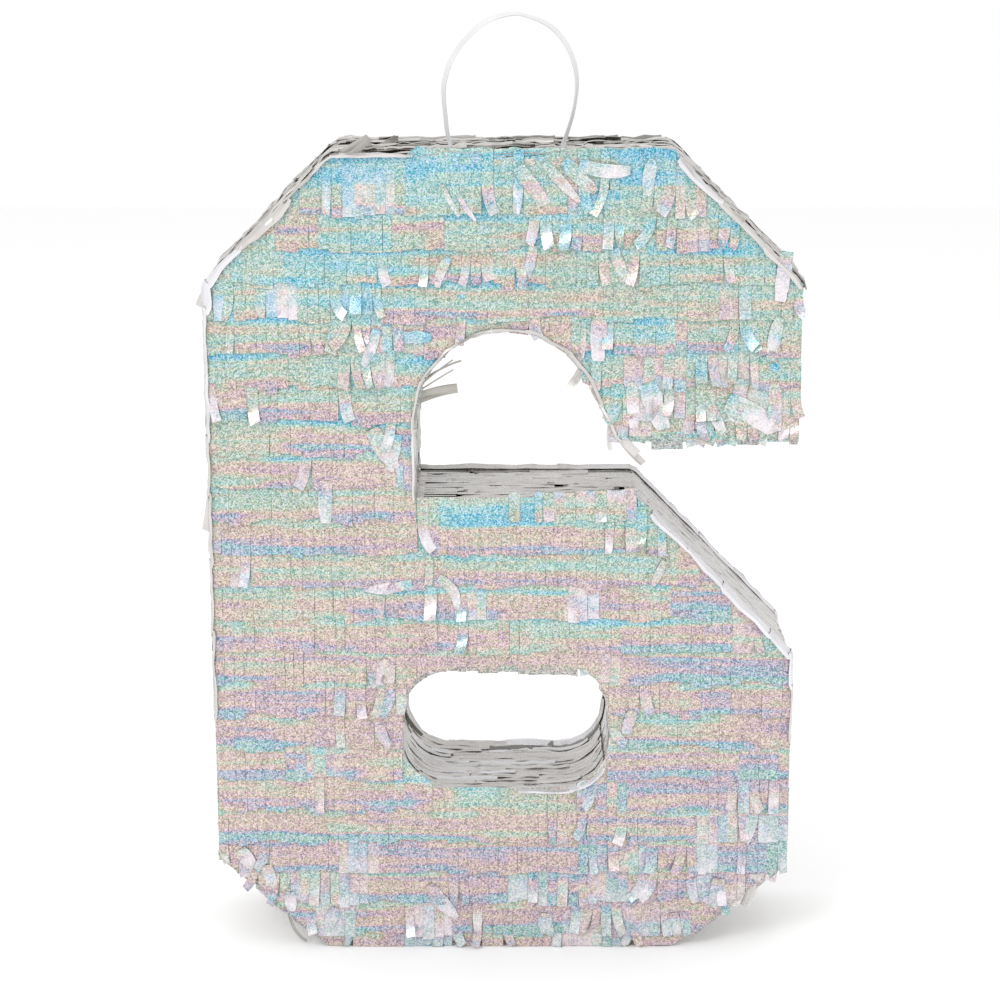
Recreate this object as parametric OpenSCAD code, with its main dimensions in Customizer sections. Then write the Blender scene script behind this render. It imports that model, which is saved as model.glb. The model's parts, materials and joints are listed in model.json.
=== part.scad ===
// Hollow cardboard pinata in the shape of a figure six, covered with cut foil fringe.
// The figure faces -Y and stands on its base at Z = 0, with X to the right and Z up.
// The cardboard outline is drawn once in the X-Z plane, and every panel, wall and foil band follows it.

/* [Body] */
// Width of the cardboard figure
body_w = 394; // [380:2:410]
// Height of the cardboard figure
body_h = 554; // [540:2:570]
// Depth of the cardboard box, over its front and back panels
body_d = 100; // [80:2:120]
// Width of the upright stroke on the left
left_stroke = 135; // [125:1:145]
// Height of the stroke along the top
top_stroke = 112; // [100:1:120]

/* [Corners] */
// Both legs of the two top chamfers
top_chamfer = 84; // [70:1:95]
// Width of the two base chamfers
base_chamfer_w = 77; // [60:1:90]
// Height of the two base chamfers
base_chamfer_h = 66; // [50:1:75]
// Width of the sloping shoulder of the bowl
shoulder_w = 105; // [95:1:115]
// Height of the sloping shoulder of the bowl
shoulder_h = 108; // [95:1:115]

/* [Counters] */
// Height from the top of the figure down to the end of the hook
hook_drop = 188; // [180:1:195]
// Height from the top of the figure down to the shelf under the upper counter
shelf_drop = 233; // [228:1:240]
// Radius of the arch over the upper counter
arch_r = 64; // [58:1:68]
// Lean of the arch's right leg, in degrees from upright
arch_lean = 25; // [15:1:30]
// Width of the lower counter
counter_w = 148; // [130:1:150]
// Height of the lower counter
counter_h = 96; // [80:1:100]
// Corner radius of the lower counter
counter_r = 34; // [20:1:38]
// Height of the lower counter's centre above the cardboard base
counter_rise = 160; // [150:1:162]

/* [Cardboard] */
// Thickness of the front and back panels
panel_t = 3; // [2:0.5:4]
// Thickness of the side walls
wall_t = 2; // [1.5:0.5:3]
// Thickness of the paper tape inside the corners
tape_t = 0.4; // [0.2:0.1:0.8]

/* [Foil] */
// Thickness of the silver foil on the sides
side_foil_t = 3; // [2:0.5:4]
// Number of silver strips laid side by side over the depth
side_strips = 4; // [3:1:6]
// Number of fringe rows on the front, and on the back
rows = 24; // [24:1:24]
// Thickness of one fringe row
fringe_t = 1.2; // [0.8:0.1:1.4]
// How far the lower edge of a row stands out from the panel
fringe_lift = 2.2; // [2.1:0.1:3]
// How far a row hangs down over the next one, and over an edge of the cardboard
fringe_overlap = 6; // [4:1:8]

/* [Fill flap] */
// Width of the opening for the filling
fill_w = 90; // [70:2:110]
// Height of the opening for the filling
fill_h = 70; // [50:2:80]
// Gap round the flap in its opening
fill_gap = 0.8; // [0.6:0.1:1.2]

/* [Hanging loop] */
// Width of the flat cord
cord_w = 3.4; // [2.4:0.2:4]
// Thickness of the flat cord
cord_t = 1.2; // [0.8:0.2:1.4]
// Diameter of the two holes for the cord
cord_hole_d = 5; // [4.6:0.2:6]
// Diameter of the knots under the patch
knot_d = 10; // [8:1:12]

/* [Hidden] */
back_groups = 4;
back_group_rows = rows / back_groups;

top_z = side_foil_t + body_h;
base_z = side_foil_t;
side_x = body_w / 2;
face_y = body_d / 2;
inner_y = face_y - panel_t;

// Upper counter: its arch, the right leg that leans outwards below it, and the hook's lower end
arch_c = [left_stroke + arch_r - side_x, top_z - top_stroke - arch_r];
arch_steps = 18;
hook_z = top_z - hook_drop;
lean_top = arch_c + arch_r * [cos(arch_lean), sin(arch_lean)];
hook_x = lean_top[0] + (lean_top[1] - hook_z) * tan(arch_lean);

// Shelf and shoulder of the bowl
shelf_z = top_z - shelf_drop;
shelf_x = side_x - shoulder_w;

// Lower counter, centred under the arch
counter_c = [arch_c[0], base_z + counter_rise];
counter_steps = 6;
no_radius_w = counter_w / 2 - counter_r;
no_radius_h = counter_h / 2 - counter_r;

function arc(centre, r, from, to, steps) =
    [for (k = [0:steps]) let (a = from + (to - from) * k / steps) centre + r * [cos(a), sin(a)]];

// Outer outline of the cardboard, clockwise from its top left, with the outside on its left
outline = concat(
    [[top_chamfer - side_x, top_z], [side_x - top_chamfer, top_z], [side_x, top_z - top_chamfer],
     [side_x, hook_z], [hook_x, hook_z]],
    arc(arch_c, arch_r, arch_lean, 180, arch_steps),
    [[arch_c[0] - arch_r, shelf_z], [shelf_x, shelf_z], [side_x, shelf_z - shoulder_h],
     [side_x, base_z + base_chamfer_h], [side_x - base_chamfer_w, base_z],
     [base_chamfer_w - side_x, base_z], [-side_x, base_z + base_chamfer_h],
     [-side_x, top_z - top_chamfer]]
);

// Corners of the outline, by their place in it
top_left = 0;
top_right = 1;
hook_top = 2;
hook_outer = 3;
hook_inner = 4;
shelf_left = 6 + arch_steps;
shelf_right = shelf_left + 1;
shoulder_end = shelf_left + 2;
bowl_end = shelf_left + 3;
base_right = shelf_left + 4;
base_left = shelf_left + 5;
left_base = shelf_left + 6;
left_top = shelf_left + 7;
taped_corners = [top_left, top_right, hook_top, hook_outer, hook_inner, shelf_left, shelf_right,
                 shoulder_end, bowl_end, base_right, base_left, left_base, left_top];

// Edge of the lower counter, anticlockwise, with the open counter on its left
counter = concat(
    arc(counter_c + [no_radius_w, no_radius_h], counter_r, 0, 90, counter_steps),
    arc(counter_c + [-no_radius_w, no_radius_h], counter_r, 90, 180, counter_steps),
    arc(counter_c + [-no_radius_w, -no_radius_h], counter_r, 180, 270, counter_steps),
    arc(counter_c + [no_radius_w, -no_radius_h], counter_r, 270, 360, counter_steps)
);

// Fringe rows
fringe_edge = side_foil_t - 0.5;
floor_gap = 0.3;
row_pitch = (body_h + fringe_edge) / rows;
row_h = row_pitch + fringe_overlap;
row_tilt = asin(fringe_lift / row_h);

// Fill opening, in the back panel behind the top stroke
fill_c = [0, top_z - top_stroke / 2];

// Corner tapes
tape_reach = 14;
tape_end_gap = 1;

// Hanging loop, from the left exit over the top to the right exit
loop_route = [
    [-36, 561], [-38, 570], [-39, 580], [-40, 590], [-40, 600], [-38, 609], [-35, 617], [-30, 625],
    [-24, 632], [-17, 639], [-9, 644], [0, 647], [9, 648], [18, 646], [26, 643], [34, 638],
    [41, 630], [46, 621], [49, 611], [50, 601], [49, 590], [47, 580], [44, 570], [41, 561]
];
exits = [loop_route[0][0], loop_route[len(loop_route) - 1][0]];
cord_sides = 8;
patch_w = 110;
patch_d = 46;
patch_t = 2;

function front_fringe_name(i) = str("front_fringe_", i < 10 ? "0" : "", i);
function back_fringe_name(i) = str("back_fringe_", i);

// Moves every point of a closed path to its left by the distance e, with mitred corners
function left_of(a, b) = let (d = (b - a) / norm(b - a)) [-d[1], d[0]];
function mitre(before, here, after, e) =
    let (n1 = left_of(before, here), n2 = left_of(here, after)) here + e * (n1 + n2) / (1 + n1 * n2);
function grow(path, e) =
    let (n = len(path))
    [for (k = [0:n - 1]) mitre(path[(k + n - 1) % n], path[k], path[(k + 1) % n], e)];

// Extrudes an X-Z drawing from one Y to another
module slab(from_y, to_y) {
    translate([0, to_y, 0]) rotate([90, 0, 0]) linear_extrude(to_y - from_y) children();
}

// Part of the outline from one corner to a later one, between two distances from the cardboard's outside
module band(first, last, inner_e, outer_e, from_y, to_y) {
    run = [for (k = [first:last]) k % len(outline)];
    outer = grow(outline, outer_e);
    inner = grow(outline, inner_e);
    slab(from_y, to_y)
        polygon(concat([for (k = run) outer[k]], [for (j = [len(run) - 1:-1:0]) inner[run[j]]]));
}

module wall(first, last) {
    color("burlywood") band(first, last, -wall_t, 0, -inner_y, inner_y);
}

// Silver strips side by side over the depth, every second one a little thinner
module foil(first, last) {
    strip_d = body_d / side_strips;
    color("silver")
        for (j = [0:side_strips - 1])
            band(first, last, 0, j % 2 == 0 ? side_foil_t : side_foil_t - 0.6,
                 -face_y + j * strip_d, -face_y + (j + 1) * strip_d);
}

module panel_shape() {
    difference() {
        polygon(outline);
        polygon(counter);
    }
}

module fill_opening(gap) {
    translate(fill_c) square([fill_w - 2 * gap, fill_h - 2 * gap], center = true);
}

// The face that the fringe covers: the panel and the foil's edges, and a little hanging below each edge
module fringe_shape() {
    difference() {
        union() {
            polygon(grow(outline, fringe_edge));
            translate([0, -fringe_overlap]) polygon(outline);
        }
        intersection() {
            polygon(grow(counter, fringe_edge));
            translate([0, -fringe_overlap]) polygon(counter);
        }
    }
}

// One row: a thin sheet that leans out towards its lower edge, over the head of the row below it
module front_row(i) {
    row_top = top_z + fringe_edge - (i - 1) * row_pitch;
    row_bottom = max(row_top - row_h, floor_gap);
    translate([0, -face_y, row_top]) rotate([-row_tilt, 0, 0]) translate([0, 0, -row_top])
        slab(-fringe_t, 0) intersection() {
            fringe_shape();
            translate([-body_w, row_bottom]) square([2 * body_w, row_top - row_bottom]);
            if ($children > 0) children();
        }
}

module front_fringe(i) {
    color(i < rows / 2 ? "paleturquoise" : "thistle") front_row(i);
}

module back_row(i) {
    mirror([0, 1, 0]) front_row(i) children();
}

module back_fringe(group) {
    color("lightcyan")
        for (i = [1 + (group - 1) * back_group_rows:group * back_group_rows])
            back_row(i) difference() {
                square([2 * body_w, 4 * body_h], center = true);
                fill_opening(0);
            }
}

module front_panel() {
    color("burlywood") slab(-face_y, -inner_y) panel_shape();
}

module back_panel() {
    color("burlywood") slab(inner_y, face_y) difference() {
        panel_shape();
        fill_opening(0);
    }
}

module cord_holes() {
    for (x = exits)
        translate([x, 0, top_z - 20]) cylinder(d = cord_hole_d, h = 40, $fn = 32);
}

module wall_top() {
    color("burlywood") difference() {
        wall(top_left, top_right);
        cord_holes();
    }
}

module wall_lower_counter() {
    color("burlywood") slab(-inner_y, inner_y) difference() {
        polygon(grow(counter, -wall_t));
        polygon(counter);
    }
}

// Tape folded into one inner corner
module corner_tape(k) {
    n = len(outline);
    here = grow(outline, -wall_t);
    deep = grow(outline, -wall_t - tape_t);
    back = (here[(k + n - 1) % n] - here[k]) / norm(here[(k + n - 1) % n] - here[k]);
    on = (here[(k + 1) % n] - here[k]) / norm(here[(k + 1) % n] - here[k]);
    reach_back = min(tape_reach, norm(here[(k + n - 1) % n] - here[k]));
    reach_on = min(tape_reach, norm(here[(k + 1) % n] - here[k]));
    slab(-inner_y + tape_end_gap, inner_y - tape_end_gap)
        polygon([here[k] + reach_back * back, here[k], here[k] + reach_on * on,
                 deep[k] + reach_on * on, deep[k], deep[k] + reach_back * back]);
}

module corner_tapes() {
    color("wheat") for (k = taped_corners) corner_tape(k);
}

module foil_top() {
    color("silver") difference() {
        foil(left_top, left_top + 3);
        cord_holes();
    }
}

module foil_lower_counter() {
    color("silver") slab(-face_y, face_y) difference() {
        polygon(counter);
        polygon(grow(counter, side_foil_t));
    }
}

module fill_flap() {
    color("burlywood") slab(inner_y, face_y) fill_opening(fill_gap);
}

module flap_fringe() {
    color("lightcyan") for (i = [1:back_group_rows]) back_row(i) fill_opening(fill_gap);
}

// Card under the top wall that spreads the pull of the loop
module loop_patch() {
    middle = (exits[0] + exits[1]) / 2;
    color("tan") difference() {
        translate([middle - patch_w / 2, -patch_d / 2, top_z - wall_t - patch_t])
            cube([patch_w, patch_d, patch_t]);
        cord_holes();
    }
}

// The cord's two ends, from the top of the foil down to a knot under the patch
module loop_knots() {
    knot_z = top_z - wall_t - patch_t - knot_d / 2 - 0.2;
    color("white")
        for (x = exits)
            translate([x, 0, knot_z]) {
                sphere(d = knot_d, $fn = 32);
                cylinder(d = cord_w, h = top_z + side_foil_t - knot_z, $fn = 24);
            }
}

// Flat cord swept along its route, with its width in the plane of the loop
function route_dir(k) =
    let (n = len(loop_route), d = loop_route[min(k + 1, n - 1)] - loop_route[max(k - 1, 0)]) d / norm(d);
function cord_ring(k) =
    let (d = route_dir(k), here = loop_route[k])
    [for (j = [0:cord_sides - 1])
        let (a = 360 * (j + 0.5) / cord_sides, across = cord_w / 2 * cos(a), through = cord_t / 2 * sin(a))
        [here[0] - across * d[1], through, here[1] + across * d[0]]];

module hanging_loop() {
    n = len(loop_route);
    rings = [for (k = [0:n - 1]) each cord_ring(k)];
    sides = [for (k = [0:n - 2], j = [0:cord_sides - 1])
        let (a = k * cord_sides + j, b = k * cord_sides + (j + 1) % cord_sides)
        [a, b, b + cord_sides, a + cord_sides]];
    ends = [[for (j = [cord_sides - 1:-1:0]) j],
            [for (j = [0:cord_sides - 1]) (n - 1) * cord_sides + j]];
    color("white") polyhedron(rings, concat(sides, ends), convexity = 4);
}

front_panel();
back_panel();
wall_top();
wall(top_right, hook_top);  // wall_top_right
wall(hook_top, hook_outer);  // wall_hook_side
wall(hook_outer, hook_inner);  // wall_hook_base
wall(hook_inner, shelf_left);  // wall_upper_counter
wall(shelf_left, shelf_right);  // wall_shelf
wall(shelf_right, shoulder_end);  // wall_shoulder
wall(shoulder_end, bowl_end);  // wall_bowl_side
wall(bowl_end, base_right);  // wall_base_right
wall(base_right, base_left);  // wall_base
wall(base_left, left_base);  // wall_base_left
wall(left_base, left_top);  // wall_left_side
wall(left_top, left_top + 1);  // wall_top_left
wall_lower_counter();
corner_tapes();
foil_top();
foil(hook_top, hook_inner);  // foil_hook
foil(hook_inner, shelf_left);  // foil_upper_counter
foil(shelf_left, shoulder_end);  // foil_shoulder
foil(shoulder_end, bowl_end);  // foil_bowl_side
foil(bowl_end, left_base);  // foil_base
foil(left_base, left_top);  // foil_left_side
foil_lower_counter();
for (i = [1:rows]) front_fringe(i);
for (i = [1:back_groups]) back_fringe(i);
fill_flap();
flap_fringe();
loop_patch();
loop_knots();
hanging_loop();
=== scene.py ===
"""Looks of a figure-six pinata: rows of holographic film fringe, silver foil sides and a flat cord."""
import json
import math

import bpy
import numpy as np
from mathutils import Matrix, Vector


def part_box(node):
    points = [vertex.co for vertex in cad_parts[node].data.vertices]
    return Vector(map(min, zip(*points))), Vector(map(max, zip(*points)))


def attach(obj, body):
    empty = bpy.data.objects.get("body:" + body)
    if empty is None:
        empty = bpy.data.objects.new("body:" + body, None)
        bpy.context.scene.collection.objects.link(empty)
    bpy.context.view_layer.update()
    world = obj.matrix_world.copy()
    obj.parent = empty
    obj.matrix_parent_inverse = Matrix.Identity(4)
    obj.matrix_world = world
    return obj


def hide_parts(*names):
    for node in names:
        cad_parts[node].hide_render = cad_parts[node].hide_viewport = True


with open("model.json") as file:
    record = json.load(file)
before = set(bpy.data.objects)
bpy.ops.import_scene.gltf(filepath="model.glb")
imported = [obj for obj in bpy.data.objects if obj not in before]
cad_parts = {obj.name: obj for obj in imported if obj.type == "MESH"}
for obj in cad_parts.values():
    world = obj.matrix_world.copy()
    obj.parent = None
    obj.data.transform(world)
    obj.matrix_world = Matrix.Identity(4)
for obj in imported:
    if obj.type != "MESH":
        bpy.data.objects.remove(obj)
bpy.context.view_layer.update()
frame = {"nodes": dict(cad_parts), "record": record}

MM = 0.001
SEED = 606


# ---- camera and hanging cord

CAMERA_PLACE = (-0.002, -1.711, 0.740)
CAMERA_TILT = 14
CAMERA_LENS = 90.8


def make_camera():
    """The camera stands in front of the figure, above its top, and looks down by the tilt, in degrees."""
    data = bpy.data.cameras.new("camera")
    data.sensor_width = 36
    data.lens = CAMERA_LENS
    camera = bpy.data.objects.new("camera", data)
    camera.location = CAMERA_PLACE
    camera.rotation_euler = (math.radians(90 - CAMERA_TILT), 0, 0)
    bpy.context.scene.collection.objects.link(camera)
    bpy.context.scene.camera = camera


CORD_WIDTH = 3.4 * MM
CORD_THICKNESS = 0.7 * MM
# X and Z of the route's points in mm, from the left exit to the right one
CORD_ROUTE = [
    (-36, 561), (-38, 570), (-39, 580), (-40, 590), (-40, 600), (-38, 609), (-35, 617), (-30, 625),
    (-24, 632), (-17, 639), (-9, 644), (0, 647), (9, 648), (18, 646), (26, 643), (34, 638),
    (41, 630), (46, 621), (49, 611), (50, 601), (49, 590), (47, 580), (44, 570), (41, 561),
]
CORD_EXIT_DEPTH = 2.5 * MM
# How far the flat side has turned away from the front, in degrees, and where along the loop, from 0 to 1
CORD_TURN_AT = [0.00, 0.16, 0.34, 0.44, 0.54, 0.68, 0.84, 0.93, 1.00]
CORD_TURN = [46, 42, 6, 18, 64, 22, 58, 46, 12]


def smooth_line(points, steps):
    """A smooth line through the points, with that many steps between neighbours."""
    p = np.array(points, float)
    p = np.vstack([2 * p[0] - p[1], p, 2 * p[-1] - p[-2]])
    line = []
    for k in range(1, len(p) - 2):
        for t in np.arange(steps) / steps:
            line.append(0.5 * (2 * p[k] + (p[k + 1] - p[k - 1]) * t
                               + (2 * p[k - 1] - 5 * p[k] + 4 * p[k + 1] - p[k + 2]) * t ** 2
                               + (3 * p[k] - p[k - 1] - 3 * p[k + 1] + p[k + 2]) * t ** 3))
    line.append(p[-2])
    return np.array(line)


# ---- thin sheets gathered into one mesh

def unit(v):
    """The vectors at a length of 1."""
    return v / np.maximum(np.linalg.norm(v, axis=-1, keepdims=True), 1e-12)


def grid_faces(rows, columns):
    """Faces of a closed thin sheet: its front grid, its back grid and the rim between them."""
    at = np.arange(rows * columns).reshape(rows, columns)
    front = np.stack([at[:-1, :-1], at[1:, :-1], at[1:, 1:], at[:-1, 1:]], -1).reshape(-1, 4)
    back = front[:, ::-1] + rows * columns
    loop = np.concatenate([at[0, :-1], at[:-1, -1], at[-1, :0:-1], at[:0:-1, 0]])
    after = np.roll(loop, -1)
    rim = np.stack([loop, after, after + rows * columns, loop + rows * columns], -1)
    return np.concatenate([front, back, rim])


SHARP_EDGE = math.radians(50)


class Sheets:
    """Thin sheets, each a grid of points, that become one mesh with named values at its points."""

    faces_of = {}

    def __init__(self):
        self.points, self.faces, self.values, self.count = [], [], {}, 0

    def add(self, grid, thickness, **values):
        """The outer side looks along (down the rows) x (along the columns)."""
        rows, columns = grid.shape[:2]
        down, along = np.gradient(grid, axis=0), np.gradient(grid, axis=1)
        outward = unit(np.cross(down, along))
        if (rows, columns) not in self.faces_of:
            self.faces_of[rows, columns] = grid_faces(rows, columns)
        self.points += [grid.reshape(-1, 3), (grid - outward * thickness).reshape(-1, 3)]
        self.faces.append(self.faces_of[rows, columns] + self.count)
        for name, value in values.items():
            flat = np.broadcast_to(value, (rows, columns)).reshape(-1)
            self.values.setdefault(name, []).extend([flat, flat])
        self.count += 2 * rows * columns

    def build(self, name, material, body, replaces):
        """One mesh of all the sheets, which rides on the body and stands in for the CAD nodes."""
        points, faces = np.concatenate(self.points), np.concatenate(self.faces)
        mesh = bpy.data.meshes.new(name)
        mesh.vertices.add(len(points))
        mesh.vertices.foreach_set("co", points.astype(np.float32).ravel())
        mesh.loops.add(faces.size)
        mesh.loops.foreach_set("vertex_index", faces.astype(np.int32).ravel())
        mesh.polygons.add(len(faces))
        mesh.polygons.foreach_set("loop_start", np.arange(0, faces.size, 4, dtype=np.int32))
        mesh.update(calc_edges=True)
        for key, parts in self.values.items():
            layer = mesh.attributes.new(key, "FLOAT", "POINT")
            layer.data.foreach_set("value", np.concatenate(parts).astype(np.float32))
        mesh.materials.append(material)
        mesh.shade_smooth()
        mesh.set_sharp_from_angle(angle=SHARP_EDGE)
        piece = bpy.data.objects.new(name, mesh)
        bpy.context.scene.collection.objects.link(piece)
        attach(piece, body)
        if replaces:
            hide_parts(*replaces)
        return piece


class Wave:
    """A smooth random curve between about -1 and 1, with bumps of about the given length."""

    def __init__(self, rng, length, parts=5):
        self.k = 2 * math.pi / (length * rng.uniform(0.6, 2.2, parts))
        self.phase = rng.uniform(0, 2 * math.pi, parts)
        self.weight = 1.4 / math.sqrt(parts)

    def __call__(self, x):
        x = np.asarray(x, float)
        return self.weight * np.sin(x[..., None] * self.k + self.phase).sum(-1)


def ribbon(start, direction, side, length, width, bend, flat_share, steps, columns, taper=0.0):
    """A grid along a strip that is straight over its flat share.

    bend holds the angles by which it has turned sideways, leaned out and rolled at its end.
    """
    u = np.linspace(0, 1, steps)
    ease = (np.clip(u - flat_share, 0, 1) / (1 - flat_share)) ** 1.3
    yaw, lean, roll = (angle * ease[:, None] for angle in bend)
    d0, s0 = unit(np.asarray(direction, float)), unit(np.asarray(side, float))
    out = np.cross(d0, s0)
    ahead = np.cos(yaw) * d0 + np.sin(yaw) * s0
    across = np.cos(yaw) * s0 - np.sin(yaw) * d0
    d = np.cos(lean) * ahead + np.sin(lean) * out
    normal = np.cos(lean) * out - np.sin(lean) * ahead
    wide = np.cos(roll) * across + np.sin(roll) * normal
    walked = np.cumsum(np.vstack([np.zeros(3), (d[1:] + d[:-1]) / 2]), axis=0)
    middle = np.asarray(start, float) + walked * length / (steps - 1)
    half = 0.5 * width * (1 - taper * u)
    t = np.linspace(-1, 1, columns)
    return middle[:, None, :] + wide[:, None, :] * (half[:, None] * t)[:, :, None]


# ---- the cardboard outline, from the frame

def panel_loops(node):
    """Closed outlines of a panel's front face in X and Z, the tallest first, with open space on the left."""
    mesh = frame["nodes"][node].data
    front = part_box(node)[0].y
    follows = {}
    for face in mesh.polygons:
        corners = [mesh.vertices[i].co for i in face.vertices]
        if max(abs(c.y - front) for c in corners) > 1e-5:
            continue
        keys = [(round(c.x, 6), round(c.z, 6)) for c in corners]
        for a, b in zip(keys, keys[1:] + keys[:1]):
            if follows.get(b) and a in follows[b]:
                follows[b].discard(a)
            else:
                follows.setdefault(a, set()).add(b)
    after = {a: next(iter(b)) for a, b in follows.items() if b}
    loops = []
    while after:
        here = next(iter(after))
        loop = []
        while here in after:
            loop.append(here)
            here = after.pop(here)
        loops.append(np.array(loop[::-1]))
    return sorted(loops, key=lambda p: -np.ptp(p[:, 1]))


def left_normals(path):
    """Unit vectors to the left of each stretch of a closed path."""
    d = unit(np.roll(path, -1, 0) - path)
    return np.stack([-d[:, 1], d[:, 0]], -1)


def grow(path, distance):
    """The closed path moved to its left by the distance, with mitred corners."""
    after = left_normals(path)
    before = np.roll(after, 1, 0)
    return path + distance * (before + after) / (1 + (before * after).sum(-1, keepdims=True))


def sharp_corners(path, degrees=20):
    """Places in the closed path where it turns by more than the angle."""
    after = left_normals(path)
    before = np.roll(after, 1, 0)
    turn = np.degrees(np.arccos(np.clip((before * after).sum(-1), -1, 1)))
    return [k for k in range(len(path)) if turn[k] > degrees]


class EdgeLine:
    """A closed path that can be asked for the point and the outward direction at any distance along it."""

    step = 1.0 * MM

    def __init__(self, path, rounding):
        closed = np.vstack([path, path[:1]])
        self.at_corner = np.concatenate([[0], np.cumsum(np.linalg.norm(np.diff(closed, axis=0), axis=1))])
        self.length = self.at_corner[-1]
        count = int(self.length / self.step)
        self.s = np.arange(count) * self.length / count
        line = np.stack([np.interp(self.s, self.at_corner, closed[:, k]) for k in (0, 1)], -1)
        reach = int(3 * rounding / self.step)
        window = np.exp(-0.5 * (np.arange(-reach, reach + 1) * self.step / rounding) ** 2)
        window /= window.sum()
        self.line = sum(w * np.roll(line, k, 0) for w, k in zip(window, range(-reach, reach + 1)))
        self.out = left_normals(self.line)
        self.middle_z = self.line[:, 1].mean()

    def point(self, s, height):
        """Points in X and Z, at the heights above the path."""
        s = np.mod(s, self.length)
        x, z, out_x, out_z = (np.interp(s, self.s, v[:, k], period=self.length)
                              for v in (self.line, self.out) for k in (0, 1))
        return x + height * out_x, z + height * out_z


outer, counter = panel_loops("front_panel")[:2]
start = int(np.argmax(outer[:, 1] * 1000 - outer[:, 0]))
outer = np.roll(outer, -start, 0)
CORNERS = ["top_left", "top_right", "hook_top", "hook_outer", "hook_inner", "shelf_left", "shelf_right",
           "shoulder_end", "bowl_end", "base_right", "base_left", "left_base", "left_top"]
corner_index = dict(zip(CORNERS, sharp_corners(outer)))
EDGE_ROUNDING = 1.5 * MM
outer_line = EdgeLine(outer, EDGE_ROUNDING)
counter_line = EdgeLine(counter, EDGE_ROUNDING)
corner_s = {name: outer_line.at_corner[k] for name, k in corner_index.items()}

panel_low, panel_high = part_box("front_panel")
face_y = -panel_low.y
fringe_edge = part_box("front_fringe_01")[1].z - panel_high.z
row_tops = [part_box(f"front_fringe_{i:02d}")[1].z for i in range(1, 25)]
pitch = row_tops[0] - row_tops[1]
opening_low, opening_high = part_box("fill_flap")
hook_end_z = outer[corner_index["hook_inner"], 1]
shelf_end_x, shelf_z = outer[corner_index["shelf_right"]]
counter_middle_x = counter_line.line[:, 0].mean()


def crossings(path, x):
    """Heights at which a closed path crosses the upright line at x."""
    a, b = path, np.roll(path, -1, 0)
    hit = (a[:, 0] <= x) != (b[:, 0] <= x)
    a, b = a[hit], b[hit]
    return list(a[:, 1] + (b[:, 1] - a[:, 1]) * (x - a[:, 0]) / (b[:, 0] - a[:, 0]))


covered = [grow(outer, fringe_edge), grow(counter, fringe_edge)]


AT_HOOK_END = 4 * MM
TRIMMED = (-1 * MM, 1.5 * MM)
RAGGED = (-6 * MM, 5 * MM)
LOOSE = (-1 * MM, 6 * MM)


def hang_below(low):
    """Least and most that film hangs below the edge at that height."""
    if low > hook_end_z + AT_HOOK_END:
        return TRIMMED
    if low > hook_end_z - AT_HOOK_END:
        return RAGGED
    return LOOSE


NEAR_SHELF = 12 * MM
NEAR_TOP = 2 * MM
TOP_LIP_FROM_X = -62 * MM


def stands_up(x, high):
    """Whether film stands up past the edge there: at the shelf, the lower counter's floor and the top."""
    on_shelf = abs(high - shelf_z) < NEAR_SHELF and x < shelf_end_x
    on_top = high > panel_high.z - NEAR_TOP and x > TOP_LIP_FROM_X
    return on_shelf or on_top or high < counter_line.middle_z


film_lip = Wave(np.random.default_rng(SEED + 2), 16 * MM)
# Heights of the film's lip in mm: at the lower counter's floor, at the top and on the shelf, where it rises
FLOOR_LIP = 3.0
TOP_LIP = 4.2
SHELF_LIP = 3.5
SHELF_LIP_RISE = 4.0


def lip_at(x, high):
    """How far film stands up past the edge at that height: most at the right end of the shelf."""
    if not stands_up(x, high):
        return 0.0
    ragged = 0.6 * film_lip(x)
    if high < counter_line.middle_z:
        return (FLOOR_LIP + ragged) * MM
    if high > panel_high.z:
        return (TOP_LIP + ragged) * MM
    rise = SHELF_LIP_RISE * np.clip((x - counter_middle_x) / shelf_end_x, -0.3, 1)
    return (SHELF_LIP + rise + ragged) * MM


def figure_spans(x):
    """Where the figure's face runs along the upright line at x: low, high, and least and most hang."""
    z = sorted(crossings(covered[0], x) + crossings(covered[1], x))
    return [(low, high, hang_below(low)) for low, high in zip(z[::2], z[1::2])]


def front_spans(x):
    """The same on the front, where film stands up past some edges."""
    return [(low, high + lip_at(x, high), hang) for low, high, hang in figure_spans(x)]


FLAP_SIDE_GAP = 1 * MM
FLAP_END_GAP = 0.8 * MM


def back_spans(x):
    """The same on the back, without the fill flap."""
    if not opening_low.x - FLAP_SIDE_GAP < x < opening_high.x + FLAP_SIDE_GAP:
        return figure_spans(x)
    spans = []
    for low, high, hang in figure_spans(x):
        if low < opening_low.z and high > opening_high.z:
            spans.append((low, opening_low.z - FLAP_END_GAP, hang))
            spans.append((opening_high.z + FLAP_END_GAP, high, (0, 0)))
        else:
            spans.append((low, high, hang))
    return spans


STRIP_REACH = 20 * MM
STRIP_REACH_UP = 15 * MM
STRIP_REACH_DOWN = 40 * MM


def beside_flap(x, z):
    """Whether a strip that stood up there could reach over the fill flap, or into its way as it opens."""
    across = opening_low.x - STRIP_REACH < x < opening_high.x + STRIP_REACH
    return across and opening_low.z - STRIP_REACH_UP < z < opening_high.z + STRIP_REACH_DOWN


def flap_spans(x):
    """Where the fill flap itself runs along the upright line at x."""
    if opening_low.x < x < opening_high.x:
        return [(opening_low.z, opening_high.z, (0, 4 * MM))]
    return []


# ---- fringe rows

STRIP_WIDTH = 7.0 * MM
FILM = 0.25 * MM
SLIT = 0.02 * MM
# A strip's length, as a share of the rows' pitch
ROW_OVERLAP = 1.7
HEADER = 22 * MM
HEADER_STAND = 0.3 * MM
LIFTED_STAND = 1.0 * MM
MAX_STAND = 12 * MM
FLOOR_GAP = 0.4 * MM
SHORTEST = 3 * MM
# The share of strips that stand up outside the patches below
RUFFLED_ELSEWHERE = 0.03

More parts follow.
